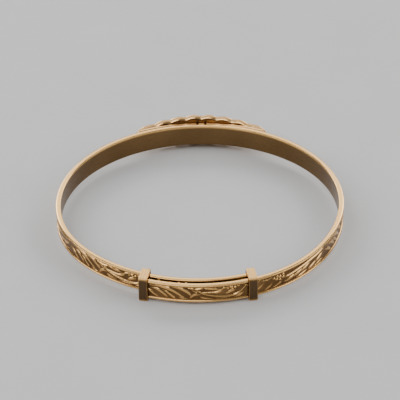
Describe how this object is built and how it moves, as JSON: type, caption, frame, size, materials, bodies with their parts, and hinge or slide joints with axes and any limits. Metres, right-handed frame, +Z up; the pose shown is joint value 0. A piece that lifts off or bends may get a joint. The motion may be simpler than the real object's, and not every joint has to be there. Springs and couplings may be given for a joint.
{
  "type": "expanding bangle bracelet",
  "caption": "Gold expanding bangle: a springy embossed strip whose overlapping ends slide through box collars, with a scalloped flower-and-leaf ornament at the back.",
  "frame": {"origin": "middle of the bounding box's bottom, level with the lowest crests of the ornament's scalloped border", "axes": "+Z is up through the wrist opening with the bangle lying flat, +Y points from the overlap to the ornament, +X to the right of someone who faces the overlap"},
  "size_m": [0.064, 0.0676, 0.0079],
  "materials": {
    "band_gold": "polished gold with a satin inside and an embossed outer face",
    "collar_gold": "finely reeded gold",
    "ornament_gold": "polished gold with tarnish in the recesses"
  },
  "bodies": {
    "back": {"band_back": "band_gold", "backing_strip_right": "ornament_gold", "backing_strip_left": "ornament_gold", "centre_post": "ornament_gold", "scalloped_plate": "ornament_gold", "scalloped_border": "ornament_gold", "petal_1": "ornament_gold", "petal_2": "ornament_gold", "petal_3": "ornament_gold", "petal_4": "ornament_gold", "petal_5": "ornament_gold", "petal_6": "ornament_gold", "flower_boss": "ornament_gold", "stem_right": "ornament_gold", "leaf_right_1": "ornament_gold", "leaf_right_2": "ornament_gold", "leaf_right_3": "ornament_gold", "leaf_right_4": "ornament_gold", "leaf_right_5": "ornament_gold", "bud_right": "ornament_gold", "stem_left": "ornament_gold", "leaf_left_1": "ornament_gold", "leaf_left_2": "ornament_gold", "leaf_left_3": "ornament_gold", "leaf_left_4": "ornament_gold", "leaf_left_5": "ornament_gold", "bud_left": "ornament_gold"},
    "right_arm": {"band_right_outer_end": "band_gold", "collar_left": "collar_gold"},
    "left_arm": {"band_left_inner_end": "band_gold", "collar_right": "collar_gold"}
  },
  "joints": [
    {"name": "right_flex", "type": "hinge", "parent": "back", "child": "right_arm", "pos_m": [0.0314, -0.00338, 0.00395], "axis": [0, 0, 1], "range_deg": [0, 17], "stiffness_Nm_per_rad": 0.05},
    {"name": "left_flex", "type": "hinge", "parent": "back", "child": "left_arm", "pos_m": [-0.0314, -0.00338, 0.00395], "axis": [0, 0, 1], "range_deg": [-17, 0], "stiffness_Nm_per_rad": 0.05}
  ],
  "couplings": [
    {"joint": "left_flex", "follows": "right_flex", "ratio": -1}
  ]
}
